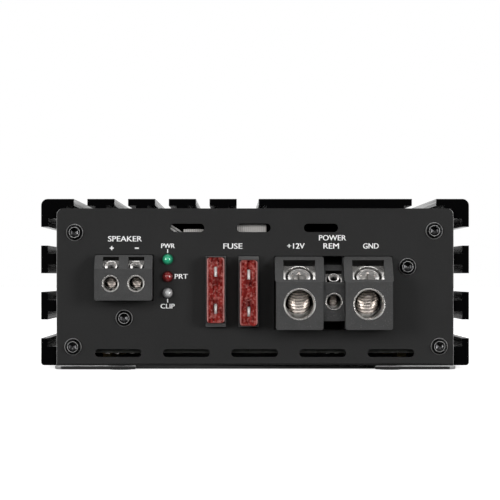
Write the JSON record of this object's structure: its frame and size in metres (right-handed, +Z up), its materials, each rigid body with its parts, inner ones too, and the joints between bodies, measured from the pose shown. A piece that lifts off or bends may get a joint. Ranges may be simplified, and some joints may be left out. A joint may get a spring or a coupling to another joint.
{
  "type": "car audio amplifier",
  "caption": "Finned aluminium car amplifier with angled screw terminals, plug-in blade fuses and status lamps at one end and inputs with controls at the other.",
  "frame": {"origin": "centre of the four mounting holes, on the surface the mounting tabs rest on", "axes": "+Z up from the mounting surface, -Y out of the supply and speaker end, +Y out of the input end, +X to the right when facing the supply end"},
  "size_m": [0.126, 0.19, 0.05],
  "materials": {
    "black_anodised": "black anodised extrusion, satin",
    "panel_paint": "black powder coat, fine texture",
    "cover_paint": "black powder coat",
    "black_steel": "black oxide",
    "circuit_board": "green solder mask",
    "spacer_metal": "turned brass",
    "zinc_steel": "bright zinc plate",
    "terminal_plastic": "moulded black plastic, fine sparkle",
    "plated_brass": "nickel plated brass",
    "screw_steel": "bright plated steel",
    "holder_plastic": "moulded black plastic",
    "spring_brass": "bright brass",
    "fuse_red": "clear red moulding",
    "fuse_metal": "stamped zinc alloy",
    "lamp_green": "tinted lens, lit",
    "lamp_red": "tinted lens",
    "lamp_clear": "water clear lens",
    "lead_tin": "tinned wire",
    "nylon": "natural nylon",
    "lead_sleeve": "soft insulation",
    "ferrite": "coated ferrite",
    "copper": "enamelled copper wire",
    "capacitor_sleeve": "shrink sleeve",
    "package_black": "moulded epoxy",
    "thermal_pad": "silicone sheet",
    "bar_aluminium": "mill finish",
    "jack_plastic": "moulded black plastic",
    "jack_ring": "coloured moulding",
    "nickel": "nickel plate",
    "pot_body": "moulded plastic",
    "knob_plastic": "moulded black plastic",
    "switch_can": "tin plate"
  },
  "bodies": {
    "chassis": {"heatsink": "black_anodised", "front_panel": "panel_paint", "rear_panel": "panel_paint", "bottom_cover": "cover_paint", "front_panel_screws": "black_steel", "rear_panel_screws": "black_steel", "terminal_fixing_screws": "black_steel", "bottom_cover_screws": "black_steel", "main_board": "circuit_board", "board_spacers": "spacer_metal", "board_screws": "zinc_steel", "supply_terminal_housing": "terminal_plastic", "positive_clamp": "plated_brass", "ground_clamp": "plated_brass", "remote_clamp": "plated_brass", "speaker_terminal_housing": "terminal_plastic", "speaker_positive_clamp": "plated_brass", "speaker_negative_clamp": "plated_brass", "left_fuse_holder": "holder_plastic", "right_fuse_holder": "holder_plastic", "fuse_contacts": "spring_brass", "power_lamp": "lamp_green", "protect_lamp": "lamp_red", "clip_lamp": "lamp_clear", "lamp_board": "circuit_board", "lamp_plug": "nylon", "lamp_leads": "lead_tin", "sense_plug": "nylon", "sense_leads": "lead_sleeve", "control_board": "circuit_board", "transformer_core": "ferrite", "transformer_winding": "copper", "inductor_core": "ferrite", "inductor_winding": "copper", "supply_capacitors": "capacitor_sleeve", "power_transistors": "package_black", "insulating_pads": "thermal_pad", "clamp_bars": "bar_aluminium", "clamp_bar_screws": "zinc_steel", "signal_chips": "package_black", "input_jack_body": "jack_plastic", "input_jack_rings": "jack_ring", "input_jack_shells": "nickel", "input_jack_contacts": "spring_brass", "control_pots": "pot_body", "filter_switch_body": "switch_can", "remote_level_socket": "jack_plastic"},
    "left_fuse": {"left_fuse_body": "fuse_red", "left_fuse_element": "fuse_metal"},
    "right_fuse": {"right_fuse_body": "fuse_red", "right_fuse_element": "fuse_metal"},
    "positive_screw": {"positive_set_screw": "screw_steel"},
    "ground_screw": {"ground_set_screw": "screw_steel"},
    "remote_screw": {"remote_set_screw": "screw_steel"},
    "speaker_positive_set_screw": {"speaker_positive_screw": "screw_steel"},
    "speaker_negative_set_screw": {"speaker_negative_screw": "screw_steel"},
    "gain_control": {"gain_knob": "knob_plastic"},
    "crossover_control": {"crossover_knob": "knob_plastic"},
    "bass_control": {"bass_knob": "knob_plastic"},
    "filter_slider": {"filter_switch_slider": "knob_plastic"}
  },
  "joints": [
    {"name": "left_fuse_pull", "type": "slide", "parent": "chassis", "child": "left_fuse", "axis": [0, -1, 0], "range_m": [0, 0.02]},
    {"name": "right_fuse_pull", "type": "slide", "parent": "chassis", "child": "right_fuse", "axis": [0, -1, 0], "range_m": [0, 0.02]},
    {"name": "positive_screw_travel", "type": "slide", "parent": "chassis", "child": "positive_screw", "axis": [0, -0.7071, 0.7071], "range_m": [0, 0.008]},
    {"name": "ground_screw_travel", "type": "slide", "parent": "chassis", "child": "ground_screw", "axis": [0, -0.7071, 0.7071], "range_m": [0, 0.008]},
    {"name": "remote_screw_travel", "type": "slide", "parent": "chassis", "child": "remote_screw", "axis": [0, -0.7071, 0.7071], "range_m": [0, 0.0045]},
    {"name": "speaker_positive_screw_travel", "type": "slide", "parent": "chassis", "child": "speaker_positive_set_screw", "axis": [0, -0.7071, 0.7071], "range_m": [0, 0.004]},
    {"name": "speaker_negative_screw_travel", "type": "slide", "parent": "chassis", "child": "speaker_negative_set_screw", "axis": [0, -0.7071, 0.7071], "range_m": [0, 0.004]},
    {"name": "gain_turn", "type": "hinge", "parent": "chassis", "child": "gain_control", "pos_m": [0.008, 0.0955, 0.022], "axis": [0, 1, 0], "range_deg": [-150, 150]},
    {"name": "crossover_turn", "type": "hinge", "parent": "chassis", "child": "crossover_control", "pos_m": [-0.006, 0.0955, 0.022], "axis": [0, 1, 0], "range_deg": [-150, 150]},
    {"name": "bass_turn", "type": "hinge", "parent": "chassis", "child": "bass_control", "pos_m": [-0.02, 0.0955, 0.022], "axis": [0, 1, 0], "range_deg": [-150, 150]},
    {"name": "filter_switch_slide", "type": "slide", "parent": "chassis", "child": "filter_slider", "axis": [1, 0, 0], "range_m": [0, 0.0035]}
  ]
}
